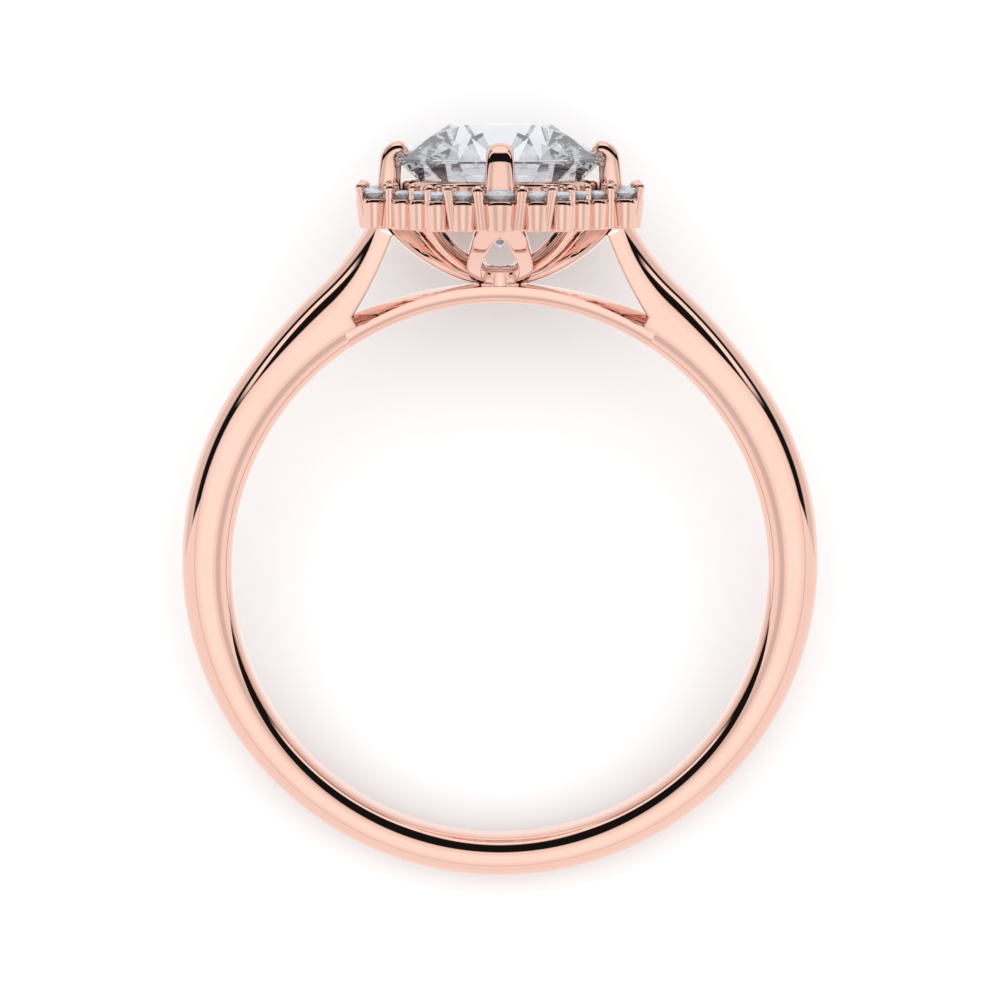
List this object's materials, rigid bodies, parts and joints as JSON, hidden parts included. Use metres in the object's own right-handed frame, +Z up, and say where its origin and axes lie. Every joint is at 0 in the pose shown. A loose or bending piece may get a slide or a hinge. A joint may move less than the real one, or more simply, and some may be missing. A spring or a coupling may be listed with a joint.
{
  "type": "halo ring",
  "caption": "Cathedral halo ring in polished rose gold: a round brilliant in claws over an openwork gallery, ringed by small round stones in posts and scalloped cups.",
  "frame": {"origin": "centre of the bounding box at its bottom, on the surface that the ring lies on", "axes": "+Z up from that surface, +Y along the ring from the shank's foot towards the head, +X across the ring, so that the ring's upright front faces up"},
  "size_m": [0.0202, 0.0238, 0.009],
  "materials": {
    "rose_gold": "mirror polished 14 carat rose gold",
    "diamond": "polished round brilliant cut"
  },
  "bodies": {
    "root": {"gold_ring": "rose_gold", "centre_stone": "diamond", "halo_stone_1": "diamond", "halo_stone_2": "diamond", "halo_stone_3": "diamond", "halo_stone_4": "diamond", "halo_stone_5": "diamond", "halo_stone_6": "diamond", "halo_stone_7": "diamond", "halo_stone_8": "diamond", "halo_stone_9": "diamond", "halo_stone_10": "diamond", "halo_stone_11": "diamond", "halo_stone_12": "diamond", "halo_stone_13": "diamond", "halo_stone_14": "diamond", "halo_stone_15": "diamond", "halo_stone_16": "diamond", "halo_stone_17": "diamond", "halo_stone_18": "diamond", "halo_stone_19": "diamond", "halo_stone_20": "diamond", "halo_stone_21": "diamond", "halo_stone_22": "diamond", "halo_stone_23": "diamond", "halo_stone_24": "diamond", "halo_stone_25": "diamond", "halo_stone_26": "diamond", "halo_stone_27": "diamond", "halo_stone_28": "diamond"}
  },
  "joints": []
}
